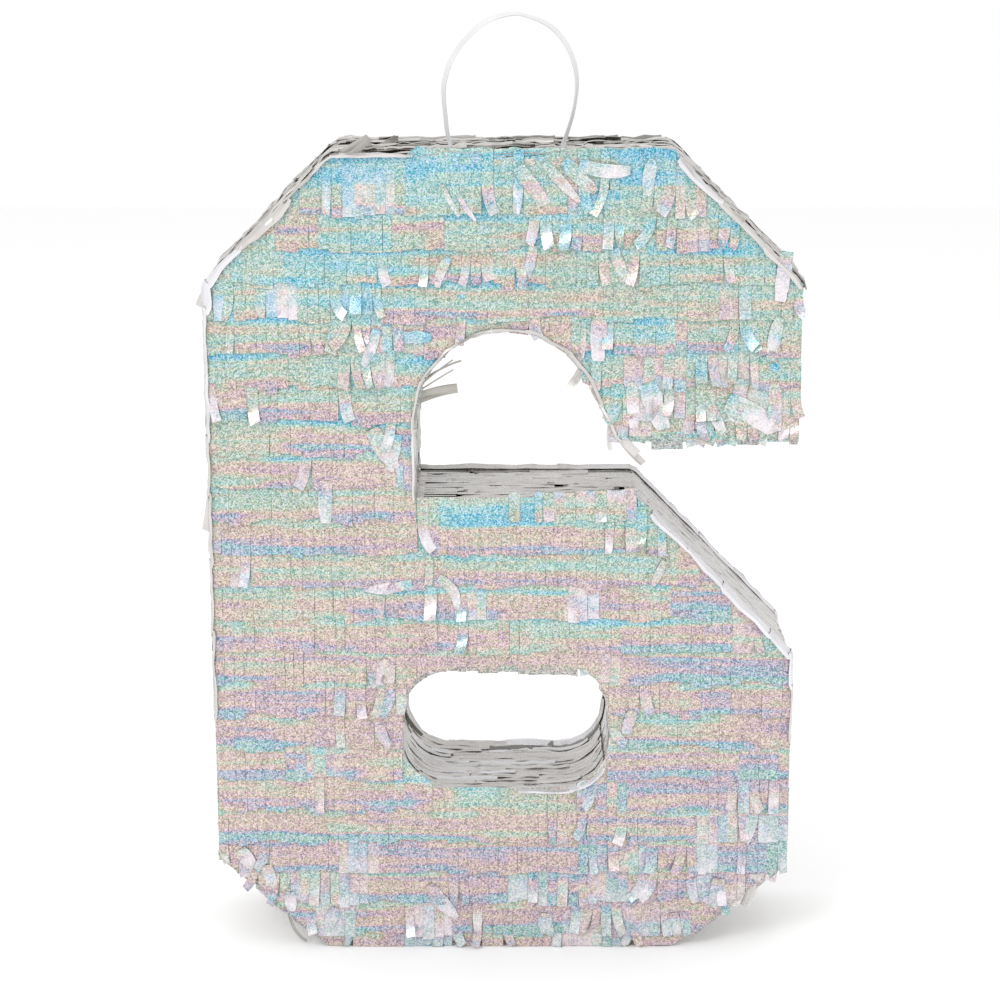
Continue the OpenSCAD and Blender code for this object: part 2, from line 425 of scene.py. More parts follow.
# Patches of the front where strips stand up, and where groups of strips are painted pale as a reflection: X,
# Z, radius in mm, and share of strips
RUFFLED = [
    (55, 545, 60, 0.48), (-100, 545, 30, 0.20), (130, 540, 55, 0.42), (-30, 480, 22, 0.25),
    (60, 420, 32, 0.5), (88, 385, 30, 0.6), (160, 385, 60, 0.55), (185, 440, 30, 0.35),
    (-95, 430, 30, 0.5), (-75, 370, 34, 0.35), (-185, 460, 26, 0.35), (-130, 330, 20, 0.3),
    (-90, 260, 22, 0.3), (-25, 262, 26, 0.35), (90, 300, 26, 0.3), (-190, 300, 30, 0.2),
    (-170, 60, 34, 0.45), (-120, 18, 40, 0.4), (-60, 20, 40, 0.35), (60, 20, 70, 0.3), (150, 50, 50, 0.4),
    (190, 100, 30, 0.3), (-72, 190, 24, 0.35), (70, 200, 24, 0.3), (60, 110, 26, 0.4), (190, 230, 30, 0.2),
]


def ruffle_chance(x, z):
    """The share of strips that stand up at a place."""
    chance = RUFFLED_ELSEWHERE
    for cx, cz, radius, share in RUFFLED:
        d2 = ((x / MM - cx) ** 2 + (z / MM - cz) ** 2) / radius ** 2
        chance = max(chance, share * math.exp(-d2))
    return chance


RUN_STEP = 0.5


def row_runs(spans, top, bottom):
    """Stretches of X in which a row from top to bottom has something to cover."""
    xs = np.arange(-210, 210.5, RUN_STEP) * MM
    inside = [any(min(high, top) - max(low, bottom) > SHORTEST for low, high, _ in spans(x)) for x in xs]
    runs, begun = [], None
    for x, here in zip(xs, inside):
        if here and begun is None:
            begun = x
        if not here and begun is not None:
            runs.append((begun, x - RUN_STEP * MM))
            begun = None
    return runs


def span_at(spans, x, top, bottom):
    """The span at x that a row from top to bottom covers most of, or none if all are too far off."""
    best = max(spans(x), key=lambda s: min(s[1], top) - max(s[0], bottom), default=None)
    if best is None or min(best[1], top) - max(best[0], bottom) < -8 * MM:
        return None
    return best


class Row:
    """One row of film strips across the figure. side is -1 on the front and 1 on the back."""

    full = pitch * ROW_OVERLAP
    hidden = full - pitch
    front_rise = 8 * MM

    def __init__(self, sheets, spans, side, top, rng, ruffled):
        self.sheets, self.spans, self.side, self.top = sheets, spans, side, top
        self.rng, self.ruffled = rng, ruffled
        self.highest = top + (self.front_rise if side < 0 and top > panel_high.z else 0)
        self.seen_middle = top - self.hidden - pitch * 0.5
        self.value = rng.uniform()
        self.bulge = Wave(rng, 90 * MM)
        self.rag = Wave(rng, 40 * MM)

    def lay(self):
        """Headers and strips over every stretch that the row has to cover."""
        for left, right in row_runs(self.spans, self.top, self.top - pitch):
            count = max(1, round((right - left) / STRIP_WIDTH))
            cuts = np.linspace(left, right, count + 1)
            self.add_header(cuts)
            cuts[1:-1] += self.rng.uniform(-0.8, 0.8, count - 1) * MM
            cuts[[0, -1]] += self.rng.uniform(-1.2, 0.6, 2) * MM * (-1, 1)
            left_in_group = 0
            for a, b in zip(cuts[:-1], cuts[1:]):
                if left_in_group == 0:
                    left_in_group = self.begin_group(a)
                left_in_group -= 1
                self.add_strip(a, b)

    def begin_group(self, x):
        """Draws what the next few strips share, their hang, patch and paleness, a painted sheen. Returns how
        many.
        """
        self.group_hang, self.patch = self.rng.uniform(0, 1, 2)
        strips = self.rng.integers(1, 7)
        # Painted reflection: groups in ruffled patches are often painted pale
        pale = self.rng.uniform() < 1.5 * ruffle_chance(x, self.seen_middle) - 0.01
        self.group_sheen = self.rng.uniform(0.4, 0.9) if pale else 0.0
        return strips

    def spans_at(self, columns):
        """The span that the row covers at each of the places."""
        return [span_at(self.spans, x, self.top, self.top - pitch) for x in columns]

    def facing_out(self, grid):
        """The grid, or values on it, with its columns in the order that turns its outer side outwards."""
        return grid[:, ::-1] if self.side > 0 else grid

    def add_header(self, columns):
        """The uncut band along the top of the row, which is glued to the board."""
        found = self.spans_at(columns)
        if None in found:
            return
        head = np.array([min(self.highest, s[1]) for s in found])
        foot = np.maximum(head - HEADER, [s[0] for s in found])
        z = head - (head - foot) * np.linspace(0, 1, 3)[:, None]
        grid = np.stack([columns[None] + 0 * z, self.side * (face_y + HEADER_STAND + 0 * z), z], -1)
        self.sheets.add(self.facing_out(grid), 0.2 * MM, row=self.value, strip=0.5, patch=0.5, lift=0.0,
                        under=0.0, down=0.0)

    def add_strip(self, left, right):
        """One strip between two cuts, flat on its row or lifted, if there is something to cover."""
        strip = self.rng.uniform()
        middle = (left + right) / 2
        columns = np.linspace(left + SLIT, right - SLIT, 4)
        found = self.spans_at(columns)
        own = next((s for s in found if s), None)
        if own is None:
            return
        found = [s or own for s in found]
        head = np.array([min(self.highest, s[1]) for s in found])
        low = np.array([s[0] for s in found])
        foot = self.foot(low, own[2], middle, strip)
        if (head - foot).max() < SHORTEST:
            return
        may_lift = self.ruffled and not (self.side > 0 and beside_flap(middle, self.seen_middle))
        if may_lift and self.rng.uniform() < ruffle_chance(middle, self.seen_middle):
            self.add_lifted(middle, columns[-1] - columns[0], head.min(), foot.min(), strip)
        else:
            self.add_flat(columns, middle, head, foot, low, own, strip)

    def foot(self, low, hangs, middle, strip):
        """Where a strip ends: below the figure's edge, or else on the row below, a little uneven."""
        least, most = hangs
        hang = least + (most - least) * self.group_hang + 0.6 * MM * strip
        end = self.top - self.full
        uneven = end + 1.2 * MM * self.rag(middle) + 1.6 * MM * (self.group_hang - 0.5)
        uneven = uneven - 1.5 * MM * (strip > 0.85)
        return np.maximum(np.where(low > end, low - hang, uneven), FLOOR_GAP)

    def add_flat(self, columns, middle, head, foot, low, own, strip):
        """A strip that lies on the row below it, a little bowed, twisted and out of line."""
        rng = self.rng
        v = np.linspace(0, 1, 8)[:, None]
        z = head - (head - foot) * v
        down = (self.top - z) / self.full
        across = np.linspace(-1, 1, 4)[None, :]
        gap = 0.06 if strip < 0.03 else 0.003
        x = middle + (columns[None, :] - middle) * (1 - gap * (down > 0.3))
        x = x + rng.normal(0, 0.18) * MM * np.clip(down - 0.35, 0, 1)
        stand = 0.4 * MM + 2.3 * MM * down ** 1.3
        stand = stand + 0.4 * MM * self.bulge(middle) * np.sin(math.pi * down.clip(0, 1))
        stand = stand + rng.uniform(-0.1, 0.22) * MM * (1 - across ** 2) * down
        stand = stand + rng.normal(0, 0.10) * MM * across * down
        # Film that hangs past the board's edge is painted greyer: partly its grey underside, partly painted
        # shade
        grey_from = 3.5 * MM if abs(own[0] - hook_end_z) < AT_HOOK_END else 0
        below = np.clip((low + grey_from - z) / (2.5 * MM), 0, 1)
        # Painted reflection: pale groups grow paler down the strip; painted highlight where film stands up
        # past the edge, palest near its head
        paleness = self.group_sheen * v
        if self.side < 0 and own[1] < self.highest and stands_up(middle, own[1]):
            paleness = np.maximum(paleness, 0.7 * np.clip(1.3 - (head - z) / (9 * MM), 0, 1))
        grid = np.stack([x + 0 * z, self.side * (face_y + stand), z], -1)
        down = (self.top - self.hidden - z) / pitch
        self.sheets.add(self.facing_out(grid), FILM, row=self.value, strip=strip, patch=self.patch,
                        lift=paleness, under=self.facing_out(below), down=down)

    def add_lifted(self, middle, width, head, foot, strip):
        """A strip that is folded, curled or bent away from its row."""
        rng, side, steps = self.rng, self.side, 10
        bend = (rng.normal(0, 0.45), rng.uniform(0.1, 0.75), rng.normal(0, 0.5))
        flat_share = rng.uniform(0.35, 0.65)
        v = np.linspace(0, 1, steps)[:, None]
        start = (middle, side * (face_y + LIFTED_STAND), head)
        ahead = (0, side * 1.6 * MM / self.full, -1)
        grid = ribbon(start, ahead, (-side, 0, 0), head - foot, width, bend, flat_share, steps, 4)
        nearest = face_y + LIFTED_STAND + 2.0 * MM * v
        grid[:, :, 1] = side * np.clip(side * grid[:, :, 1], nearest, face_y + MAX_STAND)
        grid[:, :, 2] = np.maximum(grid[:, :, 2], FLOOR_GAP)
        # Painted reflection: the part that bends away from the row is painted paler, by a random amount
        up = np.clip((v - flat_share) * 3, 0, 1) * rng.uniform(0.35, 1)
        self.sheets.add(grid, FILM, row=self.value, strip=strip, patch=self.patch, lift=up, under=0.0,
                        down=np.linspace(-0.7, 1, steps)[:, None])


# Flakes of film that stand out of the front: X and height of the root in mm, direction in degrees (0 right,
# 90 up), length and width in mm, how far each turns, leans out and rolls, in degrees, and how pale it is, a
# painted reflection
FLAKES = [
    (-36, 492, 238, 22, 7, 30, 24, 30, 0.9), (-84, 444, 254, 27, 8, -14, 20, 24, 1.0),
    (-75, 430, 268, 24, 6, 4, 14, -20, 0.6), (64, 452, 268, 30, 11, 3, 12, 14, 1.0),
    (54, 450, 268, 26, 4, 0, 14, 30, 0.5), (86, 408, 275, 32, 9, -4, 16, 20, 1.0),
    (97, 407, 286, 34, 14, 10, 22, 26, 1.0), (150, 394, -20, 40, 16, -34, 26, 34, 1.0),
    (140, 392, 288, 22, 8, 20, 20, 34, 0.9), (160, 410, 262, 30, 10, -6, 20, 18, 0.8),
    (182, 408, 272, 34, 9, 8, 16, 20, 0.9), (10, 552, 304, 32, 10, 8, 26, 30, 0.5),
    (27, 555, 310, 36, 8, 5, 24, 44, 0.7), (40, 556, 312, 30, 10, 8, 22, 26, 0.4),
    (50, 553, -16, 34, 10, 26, 10, 30, 0.9), (98, 557, 258, 26, 9, 12, 24, 30, 0.8),
    (-120, 340, 268, 30, 10, 3, 16, 16, 1.0), (-62, 268, 196, 34, 8, -24, 16, 34, 0.9),
    (-44, 272, -36, 28, 8, -70, 22, 40, 0.8), (-48, 438, 176, 24, 9, 16, 8, 10, 0.8),
    (-88, 376, 296, 32, 12, 10, 18, 24, 0.7), (-72, 372, 262, 26, 9, -8, 16, 18, 0.6),
    (-184, 74, 300, 17, 11, 6, 18, 16, 1.0), (-150, 42, 272, 15, 9, 4, 18, 16, 1.0),
    (-166, 62, 284, 18, 9, 0, 20, 10, 0.9), (-52, 47, 304, 32, 11, 12, 18, 30, 0.8),
    (-118, 30, 248, 18, 9, 8, 14, 20, 0.8), (188, 496, 262, 34, 10, 4, 14, 16, 0.9),
    (184, 452, 258, 30, 9, 6, 14, -16, 0.9), (74, 498, 282, 26, 8, 30, 20, 20, 0.5),
    (-40, 540, 292, 24, 4, 16, 20, 40, 0.8), (-30, 534, 300, 22, 4, 10, 22, 40, 0.9),
    (20, 500, 262, 30, 7, -26, 16, 20, 0.6), (120, 26, 280, 18, 9, 6, 14, 16, 0.8),
    (152, 52, 262, 22, 10, -8, 16, 20, 0.8), (30, 26, 268, 16, 10, 4, 12, 10, 0.7),
    (110, 284, 250, 20, 6, -10, 14, 20, 0.6), (90, 176, 250, 18, 8, 10, 14, 14, 0.6),
    (-80, 214, 246, 18, 8, -14, 16, 24, 0.7),
]


FLAKE_STEPS = 12


def in_front(degrees):
    """A unit vector in the plane of the front, 0 to the right and 90 up."""
    return math.cos(math.radians(degrees)), 0, math.sin(math.radians(degrees))


def front_ribbon(start, angle, length, width, turns, columns, taper):
    """A flake or loose strip, from values in degrees and mm."""
    ahead = in_front(angle)
    yaw, lean, roll = (math.radians(turn) for turn in turns)
    return ribbon(start, ahead, (-ahead[2], 0, ahead[0]), length * MM, width * MM, (yaw, -lean, roll), 0.1,
                  FLAKE_STEPS, columns, taper)


def film_flakes():
    """The large flakes of film that stand out of the front, with uneven outlines."""
    sheets = Sheets()
    rng = np.random.default_rng(SEED + 1)
    v = np.linspace(0, 1, FLAKE_STEPS)
    for x, z, angle, length, width, yaw, lean, roll, pale in FLAKES:
        start = (x * MM, -(face_y + 3.2 * MM), z * MM)
        grid = front_ribbon(start, angle, length, width, (yaw, lean, roll), 6, 0.1)
        centre = grid.mean(axis=1, keepdims=True)
        outline = np.sin(math.pi * np.linspace(0.07, 0.95, FLAKE_STEPS)) ** rng.uniform(0.12, 0.5)
        outline = outline + rng.normal(0, 0.04, FLAKE_STEPS)
        grid = centre + (grid - centre) * outline[:, None, None]
        grid[:, :, 1] = np.clip(grid[:, :, 1], -(face_y + MAX_STAND), -(face_y + 2.8 * MM))
        grid[:, :, 1] += 0.25 * MM * Wave(rng, 9 * MM)(np.linspace(0, length * MM, FLAKE_STEPS))[:, None]
        grid[:, :, 2] = np.maximum(grid[:, :, 2], FLOOR_GAP)
        # Painted reflection: each flake grows paler along it, up to its paleness
        rise = np.clip(np.linspace(0.1, 1.6, FLAKE_STEPS), 0, 1)[:, None]
        sheets.add(grid, FILM, row=rng.uniform(), strip=rng.uniform(), patch=0.45 + 0.35 * pale,
                   lift=pale * rise, under=0.0, down=v[:, None])
    sheets.build("film_flakes", hologram, "root", [])


# ---- silver foil on the sides

STRANDS = 15
STRAND_STEP = 46 * MM
# Share of strand edges that part from their neighbours, where shade is painted in the slit; the top's many
# slits darken it as painted shade
SLITS = {"foil_top": 0.85, "foil_lower_counter": 0.22, "foil_upper_counter": 0.4, "foil_shoulder": 0.14}
USUAL_SLITS = 0.22
# How much more than elsewhere the strands are crushed, and their least and greatest tone; the top's low
# tones are painted shade
CRUSHED = {"foil_top": 2.3, "foil_shoulder": 0.5}
TONES = {"foil_top": (0.04, 0.35), "foil_lower_counter": (0.5, 0.97), "foil_shoulder": (0.55, 0.8)}
USUAL_TONES = (0.1, 0.85)
# Tone of the few strands that lie in the shade of the film's lip
SHADED = (0.0, 0.05)
# Places of a strand's points across its width
COLUMNS = np.array([-1, -0.8, -0.5, -0.15, 0.15, 0.5, 0.8, 1])
FOIL_STEP = 3.5 * MM
LEAST_FOIL = 0.7 * MM
SLIT_DEPTH = 1.0 * MM


def shadow_backing(sheets, line, first, last, depth):
    """A flat dark sheet behind the strands, painted as the shade in the gaps between them, which only shows
    there.
    """
    count = max(3, int((last - first) / (3 * MM)))
    s = np.linspace(first, last, count)
    x, z = line.point(s, 0.45 * MM)
    y = np.linspace(-depth, depth, 5)
    grid = np.stack(np.broadcast_arrays(x[:, None], y[None], z[:, None]), -1)
    sheets.add(grid[:, ::-1], 0.3 * MM, tone=0.5, along=0.0, across=0.0, slit=1.0)


# Where the loop's two legs lie when it is tipped over: middle and half of the width, in mm
LEG_ZONES = [(CORD_ROUTE[0][0] - 2, 7), (CORD_ROUTE[-1][0] + 4, 9)]
LEG_DEPTH = 1.9
LEG_SLOPE = 0.07


def under_loop(x, y):
    """The greatest height for foil at a place, so that the tipped loop mostly clears it."""
    in_the_way = np.zeros(np.shape(x), bool)
    for middle, half in LEG_ZONES:
        in_the_way |= abs(x - middle * MM) < half * MM
    pressed = (CORD_ROUTE[0][1] - LEG_DEPTH) * MM + LEG_SLOPE * abs(y)
    return np.where(in_the_way, pressed, panel_high.z + MAX_STAND)


def add_strand(sheets, line, start_s, end_s, y, width, rng, slits, crushed, tones):
    """One foil strand along the edge line. Its long edges dip where it parts from its neighbours."""
    run = abs(end_s - start_s)
    forward = 1 if end_s > start_s else -1
    steps = max(8, int(run / FOIL_STEP))
    v = np.linspace(0, 1, steps)
    s = start_s + (end_s - start_s) * v
    wander = Wave(rng, 80 * MM, 3)
    crumple = Wave(rng, 18 * MM, 4)
    middle = y + 0.7 * MM * wander(s) + rng.normal(0, 1.0) * MM * crushed * v
    half = 0.5 * width * (1 - 0.3 * np.clip(v - 0.6, 0, 1) * rng.uniform(0, 2))
    up = crushed * ((0.7 + 1.3 * v ** 1.2) * MM + 0.18 * MM * crumple(s))
    camber = rng.normal(0, 0.25) * COLUMNS + rng.uniform(0.0, 0.35) * (1 - COLUMNS ** 2)
    heights = up[:, None] + crushed * camber * MM
    # slit marks where a strand's edge dips, and where the material paints shade in the opening
    slit = np.zeros((steps, len(COLUMNS)))
    for edge in (-1, 1):
        if rng.uniform() < slits:
            centre, reach = rng.uniform(0.2, 0.85), rng.uniform(7, 20) * MM / run
            lens = np.clip(1 - ((v - centre) / reach) ** 2, 0, 1) * rng.uniform(0.55, 1)
            open_to = np.clip((COLUMNS * edge - 1.05 + 1.35 * lens[:, None]) / 0.3, 0, 1)
            slit = np.maximum(slit, open_to * (lens[:, None] > 0))
    heights = np.maximum(heights - SLIT_DEPTH * slit, LEAST_FOIL)
    ys = np.clip(middle[:, None] + half[:, None] * COLUMNS, -face_y - 0.5 * MM, face_y + 0.5 * MM)
    x, z = line.point(np.repeat(s[:, None], len(COLUMNS), 1), heights)
    z = np.minimum(z, under_loop(x, ys))
    grid = np.stack([x, ys, np.maximum(z, FLOOR_GAP)], -1)
    across = COLUMNS[None] * width / 2
    if forward > 0:
        grid, slit, across = grid[:, ::-1], slit[:, ::-1], across[:, ::-1]
    sheets.add(grid, FILM, tone=rng.uniform(*tones), along=(s[:, None] - start_s), across=across, slit=slit)


def add_fold(sheets, line, side, first, last, reach, tone, rng):
    """Foil folded over the edge of the face, over a stretch of the edge line, with a ragged inner edge."""
    count = max(4, int((last - first) / FOIL_STEP))
    s = np.linspace(first, last, count)
    swell = Wave(rng, 30 * MM, 3)
    knots = np.linspace(0, 1, max(3, round((last - first) / (14 * MM))))
    inward = reach * np.interp(np.linspace(0, 1, count), knots, rng.uniform(0.5, 1.0, len(knots)))
    inward += rng.normal(0, 0.12 * MM, count)
    inward[[0, -1]] *= 0.7
    crumple = rng.normal(0, 0.22 * MM, (3, count))
    above = fringe_edge + 0.7 * MM + 0.3 * MM * swell(s)
    heights = np.stack([above * 0.5, above + crumple[0], above * 0.8 + crumple[1], above - inward * 0.5,
                        above - inward], -1)
    past_face = np.array([-7, -1.5, 1.9, 4.3, 3.9]) * MM
    uneven = np.stack([0 * s, crumple[2], crumple[0], crumple[1], crumple[2]], -1)
    depths = face_y + past_face + uneven
    x, z = line.point(np.repeat(s[:, None], 5, 1), heights)
    grid = np.stack([x, side * depths, np.maximum(z, FLOOR_GAP)], -1)
    if side > 0:
        grid = grid[:, ::-1]
    across = np.linspace(0, reach, 5)[None]
    sheets.add(grid, FILM, tone=tone, along=s[:, None] - first, across=across, slit=0.0)


# Places where more foil is folded over the front edge: X, Z, radius in mm, width on the face, tone; tones
# near 1 are a white painted highlight
FOLD_ZONES = [
    (150, 270, 72, 5.5, 0.98), (110, 316, 24, 4.0, 0.95), (44, 112, 24, 2.6, 0.98),
    (-30, 108, 34, 4.0, 0.8), (-158, 558, 16, 9.0, 0.97), (-176, 520, 34, 8.0, 0.6),
    (126, 556, 18, 7.0, 0.95), (170, 520, 40, 5.0, 0.8), (-196, 470, 22, 8.0, 0.97),
    (-198, 410, 36, 4.5, 0.93), (-200, 300, 40, 4.0, 0.8), (198, 440, 44, 4.5, 0.93),
    (-172, 40, 36, 6.5, 0.95), (170, 40, 38, 6.0, 0.93), (62, 430, 34, 4.0, 0.6), (-50, 420, 30, 4.0, 0.3),
    (197, 210, 18, 4.5, 0.97),
]


def fold_at(x, z, rng):
    """How far foil is folded over the face's edge at a place, and its tone. Few folds are wide and painted
    white as a highlight.
    """
    for cx, cz, radius, reach, tone in FOLD_ZONES:
        if math.hypot(x / MM - cx, z / MM - cz) < radius:
            return reach * MM * rng.uniform(0.8, 1.2), tone
    return rng.uniform(2.0, 4.0) * MM, rng.uniform(0.3, 0.9)


def strand_rows(sheets, node, line, first, last, forward, rng):
    """Rows of strands side by side. Each row starts under the one before it, as they were glued."""
    limits = (first - 3 * MM, last + 3 * MM)
    width = 2 * face_y / STRANDS
    count = max(1, round((last - first) / STRAND_STEP))
    roots = first + (last - first) * np.arange(count) / count
    if forward < 0:
        roots = first + last - roots
    crushed, tones = CRUSHED.get(node, 1), TONES.get(node, USUAL_TONES)
    crowd = Wave(rng, 90 * MM, 3)
    for root in roots[::-1]:
        shaded = stands_up(*line.point(root, 0))
        for j in range(STRANDS):
            slits = SLITS.get(node, USUAL_SLITS) * max(0.15, 1 + 1.5 * crowd(root + 9 * MM * j))
            y = -face_y + (j + 0.5) * width + rng.normal(0, 0.6) * MM
            dark = shaded and j >= STRANDS - 2 and rng.uniform() < 0.75
            start_s = root - forward * 3 * MM if root == roots[0] else root + rng.normal(0, 12) * MM
            end_s = start_s + forward * STRAND_STEP * rng.uniform(1.7, 2.4)
            ends = np.clip([start_s, end_s], *limits)
            strand_width = width * rng.uniform(1.05, 1.35)
            tone = SHADED if dark else tones
            add_strand(sheets, line, *ends, y, strand_width, rng, slits, crushed, tone)


# Folds over the edge behind the film's lip are left out unless they are whiter than this, the white of a
# painted highlight
WHITE = 0.96


def edge_folds(sheets, line, side, first, last, rng):
    """Folds one after another over the edge of a face. The upper half of the lower counter has none."""
    s = first
    while s < last - 6 * MM:
        run = min(rng.uniform(20, 60) * MM, last + 2 * MM - s)
        x, z = line.point(s + run / 2, 0)
        reach, tone = fold_at(x, z, rng)
        behind_film = side < 0 and stands_up(x, z)
        if (line is outer_line or z < line.middle_z) and not (behind_film and tone < WHITE):
            add_fold(sheets, line, side, s - 2 * MM, s + run, reach, tone, rng)
        s += run * 0.93


def foil_run(name, node, line, first, last, forward, rng, folded=True):
    """The foil of one stretch of an edge line: its dark backing painted as shade, rows of strands, and folds
    over both faces.
    """
    sheets = Sheets()
    shadow_backing(sheets, line, first, last, face_y)
    strand_rows(sheets, node, line, first, last, forward, rng)
    if folded:
        for side in (-1, 1):
            edge_folds(sheets, line, side, first, last, rng)
    sheets.build(name, silver, "root", [node])


# Loose strips at the front: X, height and depth of the root in mm, direction in degrees (0 right, 90 up),
# length and width in mm, then how far it turns, leans forward and rolls, in degrees, and its tone, where 0
# is painted shade
LOOSE_STRIPS = [
    (-200, 470, -48, 232, 15, 5, 20, 10, 30, 0.85), (-200, 336, -49, 262, 34, 6, -6, 0, 20, 0.8),
    (-108, 561, -44, 28, 26, 9, 12, 0, 40, 0.5), (104, 560, -46, 122, 15, 1.2, 10, 0, 0, 0.2),
    (148, 524, -50, -24, 17, 4, -10, 10, 20, 0.3), (-61, 405, -40, 38, 36, 1.5, -22, 0, 0, 0.1),
    (-61, 402, -42, 42, 34, 1.1, -8, 0, 0, 0.1), (-61, 399, -44, 34, 33, 1.1, -4, 0, 0, 0.1),
    (-62, 395, -46, 22, 33, 8, -16, 0, 12, 0.1), (-59, 409, -40, 58, 25, 6, -10, 0, 30, 0.0),
    (57, 420, -46, 246, 20, 6, -20, 0, 25, 0.6), (-62, 328, -44, 96, 34, 7, 6, 0, 20, 0.75),
    (-62, 326, -36, 86, 30, 5, 10, 0, 10, 0.0), (76, 374, -51, -50, 24, 7, 6, 0, 12, 0.8),
    (80, 368, -49, -56, 26, 6, 14, 6, 20, 0.3), (84, 366, -48, -12, 15, 2, -10, 0, 0, 0.1),
    (75, 382, -51, 258, 22, 4, 26, 6, 20, 0.9), (-162, 46, -51, -58, 26, 8, 8, 8, 20, 0.8),
    (-148, 33, -50, -88, 33, 2.6, 50, 10, 15, 0.1), (168, 64, -52, 258, 26, 8, -14, 8, 20, 0.7),
    (-200, 92, -50, -70, 20, 6, 14, 4, 20, 0.85), (104, 326, -44, 150, 22, 5, 36, 0, 30, 0.2),
    (-73, 178, -44, -66, 30, 3, 24, 0, 20, 0.0), (-71, 190, -46, -98, 26, 6, 16, 0, 20, 0.3),
    (200, 410, -46, 262, 24, 5, -10, 6, 10, 0.7), (-84, 561, 10, 28, 16, 6, 10, 0, 30, 0.4),
]


def nearest_edge(x, z):
    """The closest point of the figure's outline to a place."""
    points = np.concatenate([outer_line.line, counter_line.line])
    return points[np.argmin(np.hypot(points[:, 0] - x, points[:, 1] - z))]


def loose_strips():
    """Single strips of foil that have come away, each rooted in the edge nearest to its place."""
    sheets = Sheets()
    for x, z, y, angle, length, width, yaw, lean, roll, tone in LOOSE_STRIPS:
        root_x, root_z = nearest_edge(x * MM, z * MM)
        start = np.array([root_x, y * MM, root_z]) - 2 * MM * np.array(in_front(angle))
        grid = front_ribbon(start, angle, length, width, (yaw, lean, roll), 4, 0.15)
        grid[:, :, 2] = np.maximum(grid[:, :, 2], FLOOR_GAP)
        sheets.add(grid, FILM, tone=tone, along=np.linspace(0, length * MM, FLAKE_STEPS)[:, None],
                   across=np.linspace(-0.5, 0.5, 4)[None] * width * MM, slit=0.0)
    sheets.build("loose_foil_strips", silver, "root", [])


# ---- materials

def linear(r, g, b):
    """A colour from its 0 to 255 screen values."""
    return [((c / 255 + 0.055) / 1.055) ** 2.4 if c > 10 else c / 255 / 12.92 for c in (r, g, b)] + [1.0]


class Nodes:
    """Short ways to add and join a material's nodes."""

    def __init__(self, name):
        self.material = bpy.data.materials.new(name)
        self.material.use_nodes = True
        self.tree = self.material.node_tree
        self.shader = self.tree.nodes["Principled BSDF"]

    def add(self, kind, inputs=None, **settings):
        node = self.tree.nodes.new("ShaderNode" + kind)
        for key, value in settings.items():
            setattr(node, key, value)
        for key, value in (inputs or {}).items():
            self.put(node.inputs[key], value)
        return node

    def put(self, socket, value):
        if isinstance(value, bpy.types.NodeSocket):
            self.tree.links.new(value, socket)
        else:
            socket.default_value = value

    def attribute(self, name):
        return self.add("Attribute", attribute_name=name).outputs["Fac"]

    def math(self, operation, a, b=0.0, c=0.0, clamp=False):
        return self.add("Math", {0: a, 1: b, 2: c}, operation=operation, use_clamp=clamp).outputs[0]

    def around(self, value, amount, base, centre=0.5):
        """The base, with the value's distance from its centre added by the amount."""
        return self.math("MULTIPLY_ADD", self.math("SUBTRACT", value, centre), amount, base)

    def remap(self, value, low, high, to_low, to_high):
        """The value's range from low to high, made to run between two others."""
        return self.add("MapRange", {0: value, 1: low, 2: high, 3: to_low, 4: to_high}).outputs[0]

    def ramp(self, value, stops):
        """A colour that goes through the stops. A stop given as one number is a grey."""
        node = self.add("ValToRGB", {"Fac": value})
        while len(node.color_ramp.elements) < len(stops):
            node.color_ramp.elements.new(0.5)
        for element, (place, colour) in zip(node.color_ramp.elements, stops):
            element.position = place
            element.color = (colour, colour, colour, 1) if isinstance(colour, float) else colour
        return node.outputs["Color"]

    def mix(self, factor, a, b, blend="MIX"):
        node = self.add("Mix", data_type="RGBA", blend_type=blend)
        self.put(node.inputs[0], factor)
        self.put(node.inputs[6], a)
        self.put(node.inputs[7], b)
        return node.outputs[2]

    def place(self):
        return self.add("TexCoord").outputs["Object"]

    def noise(self, vector, scale, detail=2.0, roughness=0.5):
        settings = {"Vector": vector, "Scale": scale, "Detail": detail, "Roughness": roughness}
        return self.add("TexNoise", settings).outputs[0]

    def stretched_noise(self, values, scales, detail=1.0, roughness=0.5):
        """Noise over up to three values, each with a scale of its own."""
        scaled = [self.math("MULTIPLY", value, scale) for value, scale in zip(values, scales)]
        vector = self.add("CombineXYZ", dict(zip("XYZ", scaled))).outputs[0]
        return self.noise(vector, 1.0, detail, roughness)

    def bump(self, height, distance, strength=1.0):
        node = self.add("Bump", {"Height": height, "Distance": distance, "Strength": strength})
        self.put(self.shader.inputs["Normal"], node.outputs[0])

    def finish(self, **values):
        for key, value in values.items():
            self.put(self.shader.inputs[key.replace("_", " ")], value)
        return self.material


# The film's colours in the order in which they follow each other, which is how they run from top to bottom
HOLOGRAM = [
    (0.00, linear(122, 174, 194)), (0.12, linear(138, 181, 190)), (0.27, linear(156, 183, 178)),
    (0.41, linear(167, 179, 166)), (0.54, linear(187, 172, 160)), (0.67, linear(182, 161, 167)),
    (0.78, linear(160, 158, 174)), (0.90, linear(142, 171, 182)), (1.00, linear(151, 175, 172)),
]


# Darker and lighter bands down one row, painted shade and highlight where the strips' ends lie, and how far
# the film at the top and bottom is along its colours
BANDS = [(0.0, 0.20), (0.12, 0.14), (0.24, 0.5), (0.68, 0.5), (0.82, 0.86), (0.96, 0.8)]
TOP_PHASE = 0.30
BOTTOM_PHASE = 0.69
GLITTER_CELLS = 1350.0
GRAIN_CELLS = 700.0
JUMPING_STRIPS = 0.86
# Colour of the painted reflection on lifted, curled and pale-grouped film
FILM_SHEEN_COLOUR = linear(216, 209, 214)
# Grey of the film's underside and of painted shade where it hangs past an edge
FILM_UNDERSIDE_AND_SHADE = linear(156, 155, 154)


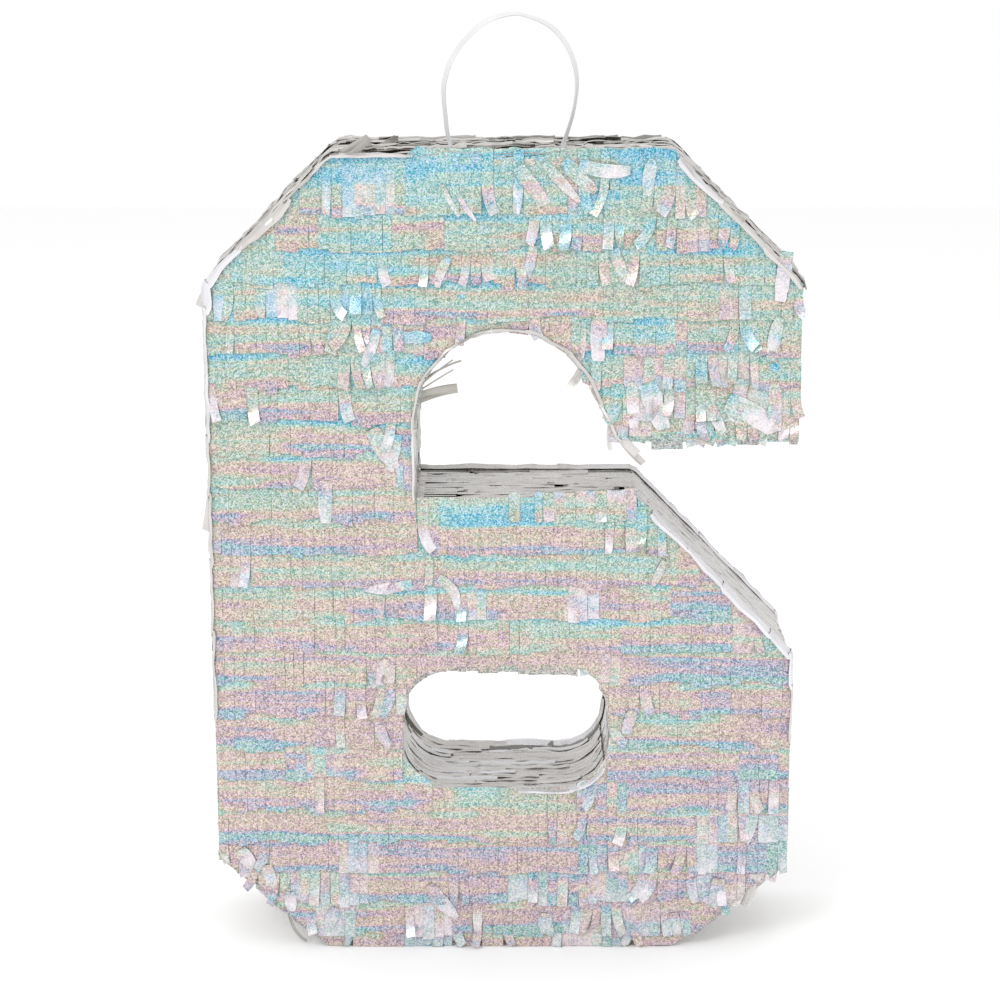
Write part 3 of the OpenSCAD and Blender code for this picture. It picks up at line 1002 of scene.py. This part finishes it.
def film_phase(n, place, row, strip, down, lift, patch):
    """How far along its colours the film is: by height, streaks, bands, and from strip to strip."""
    x, _, z = n.add("SeparateXYZ", {0: place}).outputs
    height = n.math("DIVIDE", z, panel_high.z)
    body = n.remap(height, 0.95, 0.10, TOP_PHASE, BOTTOM_PHASE)
    body = n.around(n.noise(place, 5.0, 1.0), 0.30, body)
    streaks = n.stretched_noise((x, row, z), (6, 43, 125), 2.4, 0.6)
    sway = n.stretched_noise((x, row), (14, 31))
    # Painted shade and highlight: bands near the top and foot of each row's visible part shift its colours
    bands = n.ramp(n.around(sway, 0.45, down), BANDS)
    lit = n.remap(n.stretched_noise((x, row, z), (16, 57, 20)), 0.42, 0.56, 0.0, 1.0)
    blocks = n.stretched_noise((x, row, z), (22, 17, 30))
    phase = n.around(streaks, 1.10, body)
    phase = n.around(blocks, 0.30, phase)
    phase = n.math("MULTIPLY_ADD", n.math("MULTIPLY", n.math("SUBTRACT", bands, 0.5), lit), 0.85, phase)
    jump = n.math("GREATER_THAN", patch, JUMPING_STRIPS)
    phase = n.math("MULTIPLY_ADD", n.math("MULTIPLY", jump, n.math("SUBTRACT", row, 0.4)), 0.42, phase)
    phase = n.around(patch, 0.08, phase)
    phase = n.around(strip, 0.05, phase)
    # Painted reflection: film with a painted sheen also shifts along its colours, strip by strip
    return n.math("MULTIPLY_ADD", lift, n.math("MULTIPLY_ADD", strip, 1.2, -0.45), phase)


def hologram_film():
    """Holographic film: colours that shift in long level streaks, with a fine glitter of partly painted
    glints, a painted pale reflection on lifted film and, where it hangs past an edge, its grey underside and
    painted shade.
    """
    n = Nodes("hologram_film")
    place = n.place()
    names = ("row", "strip", "down", "lift", "patch", "under")
    row, strip, down, lift, patch, under = (n.attribute(name) for name in names)
    colour = n.ramp(film_phase(n, place, row, strip, down, lift, patch), HOLOGRAM)
    # Painted reflection: film with a sheen is painted paler, in blotches, as if it mirrored the white light
    blotches = n.remap(n.noise(place, 90.0, 2.0), 0.35, 0.6, 0.35, 1.3)
    pale = n.math("MULTIPLY", lift, n.math("MULTIPLY_ADD", patch, 0.9, 0.15))
    pale = n.math("MULTIPLY", pale, blotches, clamp=True)
    colour = n.mix(pale, colour, FILM_SHEEN_COLOUR)
    # Painted shade and the film's grey underside where it hangs past an edge
    colour = n.mix(n.math("MULTIPLY", under, 0.75), colour, FILM_UNDERSIDE_AND_SHADE)
    # Glitter: each fine cell gets a random lighter or darker colour, partly the film's own cells and partly
    # painted glints; pale film gets less
    cells = n.add("TexVoronoi", {"Vector": place, "Scale": GLITTER_CELLS}).outputs["Color"]
    spark = n.add("SeparateColor", {0: cells}).outputs[0]
    cells = n.mix(0.24, spark, cells)
    glitter = n.math("MULTIPLY_ADD", pale, -0.15, 0.26)
    colour = n.mix(glitter, colour, cells, "LINEAR_LIGHT")
    roughness = n.remap(n.noise(place, 60.0, 3.0), 0.3, 0.7, 0.26, 0.42)
    grain = n.add("TexVoronoi", {"Vector": place, "Scale": GRAIN_CELLS}, feature="F1").outputs["Distance"]
    n.bump(grain, 0.00008, 0.35)
    return n.finish(Base_Color=colour, Metallic=0.35, Roughness=roughness)


# Tones of the foil: near 0 a dark painted shade, near 1 a white painted highlight, between them the foil's
# own uneven grey
FOIL_TONES = [
    (0.0, linear(84, 82, 75)), (0.08, linear(158, 155, 148)), (0.15, linear(190, 187, 183)),
    (0.85, linear(207, 204, 202)), (0.95, linear(216, 215, 218)), (1.0, linear(226, 225, 230)),
]
# Painted shade and dark reflections along the foil's wrinkles, multiplied into its tone
CREASE_SHADOW_TONES = [(0.28, linear(168, 166, 160)), (0.42, linear(240, 239, 238)), (0.60, linear(255, 255, 255))]
# Painted shade in the slits between strands and on the dark backing
GAP_SHADOWS = [(0.35, linear(38, 37, 32)), (0.65, linear(112, 109, 98))]


def silver_foil():
    """Plain crumpled foil, with painted shade and dark reflections along fine wrinkles on each strand, and
    painted shade in the slits where strands part.
    """
    n = Nodes("silver_foil")
    tone, along, across, slit = (n.attribute(a) for a in ("tone", "along", "across", "slit"))
    creases = n.stretched_noise((across, along, tone), (420, 26, 90), 3.0, 0.55)
    # Painted shade and dark reflections: streaks along each strand's wrinkles darken its tone
    colour = n.mix(0.9, n.ramp(tone, FOIL_TONES), n.ramp(creases, CREASE_SHADOW_TONES), "MULTIPLY")
    fine = n.noise(n.place(), 260.0, 3.0)
    # Painted shade: where strands part, and all over the backing, the foil is painted dark
    gap = n.ramp(n.around(creases, 0.5, slit), [(0.42, 0.0), (0.50, 1.0)])
    colour = n.mix(gap, colour, n.ramp(fine, GAP_SHADOWS))
    roughness = n.remap(fine, 0.3, 0.7, 0.22, 0.40)
    n.bump(creases, 0.0004, 0.5)
    return n.finish(Base_Color=colour, Metallic=0.5, Roughness=roughness)


def cardboard():
    """Brown single-wall board, with the faint lines of its flutes and fibre specks."""
    n = Nodes("cardboard_board")
    place = n.place()
    fibres = n.noise(place, 380.0, 4.0, 0.65)
    clouds = n.noise(place, 22.0, 2.0)
    wave = {"Vector": place, "Scale": 48.0, "Distortion": 0.4}
    flutes = n.add("TexWave", wave, bands_direction="X").outputs[0]
    colour = n.ramp(fibres, [(0.3, linear(150, 116, 80)), (0.7, linear(196, 160, 118))])
    colour = n.mix(n.math("MULTIPLY", clouds, 0.35), colour, linear(176, 138, 98))
    n.bump(flutes, 0.0002, 0.35)
    return n.finish(Base_Color=colour, Roughness=0.88)


def paper_tape():
    """Light brown gummed paper, with fine fibres."""
    n = Nodes("paper_tape")
    fibres = n.noise(n.place(), 300.0, 4.0, 0.6)
    colour = n.ramp(fibres, [(0.3, linear(190, 166, 120)), (0.7, linear(216, 194, 150))])
    n.bump(fibres, 0.0001, 0.4)
    return n.finish(Base_Color=colour, Roughness=0.7)


def white_cord():
    """White plastic flat cord, with fine lines along it."""
    n = Nodes("white_cord")
    across = n.attribute("across")
    lines = n.stretched_noise([across], [3000])
    colour = n.ramp(lines, [(0.3, linear(196, 196, 198)), (0.7, linear(208, 208, 209))])
    n.bump(lines, 0.00005, 0.4)
    return n.finish(Base_Color=colour, Roughness=0.42)


# ---- the pieces

make_camera()
hologram = hologram_film()
silver = silver_foil()
cord_white = white_cord()


def dress_nodes():
    """Every CAD node gets its slot's material, which shows on the cardboard and the tape."""
    by_slot = {"cardboard": cardboard(), "paper_tape": paper_tape(), "silver_foil": silver,
               "holographic_foil": hologram, "white_cord": cord_white}
    slot_of = {part["node"]: part["material_slot"] for part in frame["record"]["subparts"]}
    for name, node in frame["nodes"].items():
        node.data.materials.clear()
        node.data.materials.append(by_slot[slot_of[name]])


def hanging_cord():
    """The flat cord loop, which turns a little about its own line on its way."""
    route = [(x * MM, 0.0, z * MM) for x, z in CORD_ROUTE]
    down = Vector((0, 0, CORD_EXIT_DEPTH))
    route = [tuple(Vector(route[0]) - down)] + route + [tuple(Vector(route[-1]) - down)]
    line = smooth_line(route, 6)
    t = unit(np.gradient(line, axis=0))
    sideways = np.cross(t, (0, 1, 0))
    share = np.linspace(0, 1, len(line))
    turn = np.radians(np.interp(share, CORD_TURN_AT, CORD_TURN))
    flat = sideways * np.cos(turn)[:, None] + np.array((0, 1, 0)) * np.sin(turn)[:, None]
    across = np.linspace(-0.5, 0.5, 5) * CORD_WIDTH
    grid = line[:, None, :] + flat[:, None, :] * across[None, :, None]
    sheets = Sheets()
    sheets.add(grid, CORD_THICKNESS, across=across[None])
    cord = sheets.build("flat_cord_loop", cord_white, "loop", ["hanging_loop"])


def film(name, body, node, spans, side, tops, rng, ruffled=True):
    """One piece of fringe: the rows with the given tops."""
    sheets = Sheets()
    for top in tops:
        Row(sheets, spans, side, top, rng, ruffled).lay()
    sheets.build(name, hologram, body, [node])


BACK_GROUPS = 4


def all_film(rng):
    """The fringe: each front row, the back rows in groups, and the fill flap's own rows."""
    for i, top in enumerate(row_tops, 1):
        film(f"film_front_{i:02d}", "root", f"front_fringe_{i:02d}", front_spans, -1, [top], rng)
    rows_in_group = len(row_tops) // BACK_GROUPS
    for group in range(BACK_GROUPS):
        tops = row_tops[group * rows_in_group:(group + 1) * rows_in_group]
        film(f"film_back_{group + 1}", "root", f"back_fringe_{group + 1}", back_spans, 1, tops, rng)
    tops = [top for top in row_tops if top - pitch < opening_high.z and top > opening_low.z + SHORTEST]
    film("film_flap", "flap", "flap_fringe", flap_spans, 1, tops, rng, ruffled=False)


# Foil nodes round the outline, the corners that they run between, and which way their strands lie
FOIL_RUNS = [
    ("foil_top", "left_top", "hook_top", 1), ("foil_hook", "hook_top", "hook_inner", 1),
    ("foil_upper_counter", "hook_inner", "shelf_left", 1),
    ("foil_shoulder", "shelf_left", "shoulder_end", 1),
    ("foil_bowl_side", "shoulder_end", "bowl_end", 1), ("foil_base", "bowl_end", "left_base", 1),
    ("foil_left_side", "left_base", "left_top", -1),
]


def all_foil(rng):
    """The side foil round the outline and in the lower counter. The hook's has no folds over the faces."""
    for node, first, last, forward in FOIL_RUNS:
        first_s, last_s = corner_s[first], corner_s[last]
        if last_s < first_s:
            first_s -= outer_line.length
        name = node.replace("foil_", "silver_")
        foil_run(name, node, outer_line, first_s, last_s, forward, rng, node != "foil_hook")
    foil_run("silver_lower_counter", "foil_lower_counter", counter_line, 0, counter_line.length, 1, rng)


hanging_cord()
dress_nodes()
rng = np.random.default_rng(SEED)
all_film(rng)
all_foil(rng)
film_flakes()
loose_strips()


# ---- floor and light

FLOOR_SIZE = 8
# Name, place, size in metres and power in watts of each light
LIGHTS = [
    ("key", (-1.3, -2.0, 1.9), 1.2, 30), ("fill", (1.8, -1.6, 0.9), 1.6, 9), ("top", (0, 0.4, 2.4), 1.2, 6),
]
LIT_POINT = (0, 0, 0.3)


def make_stage():
    """The white floor."""
    bpy.ops.mesh.primitive_plane_add(size=FLOOR_SIZE, location=(0, 0, 0))
    floor = bpy.context.object
    floor.name = "floor"
    n = Nodes("floor_white")
    floor.data.materials.append(n.finish(Base_Color=linear(250, 250, 250), Roughness=0.9))


def area_light(name, place, size, power):
    """A square light that points at the figure."""
    data = bpy.data.lights.new(name, "AREA")
    data.size = size
    data.energy = power
    light = bpy.data.objects.new(name, data)
    light.location = place
    light.rotation_euler = (Vector(LIT_POINT) - Vector(place)).to_track_quat("-Z", "Y").to_euler()
    bpy.context.scene.collection.objects.link(light)


def make_light():
    """White surroundings and soft lights."""
    world = bpy.data.worlds.new("soft_white")
    world.use_nodes = True
    background = world.node_tree.nodes["Background"]
    background.inputs["Color"].default_value = (1, 1, 1, 1)
    background.inputs["Strength"].default_value = 1.0
    bpy.context.scene.world = world
    for name, place, size, power in LIGHTS:
        area_light(name, place, size, power)


make_stage()
make_light()
bpy.context.scene.view_settings.view_transform = "Standard"
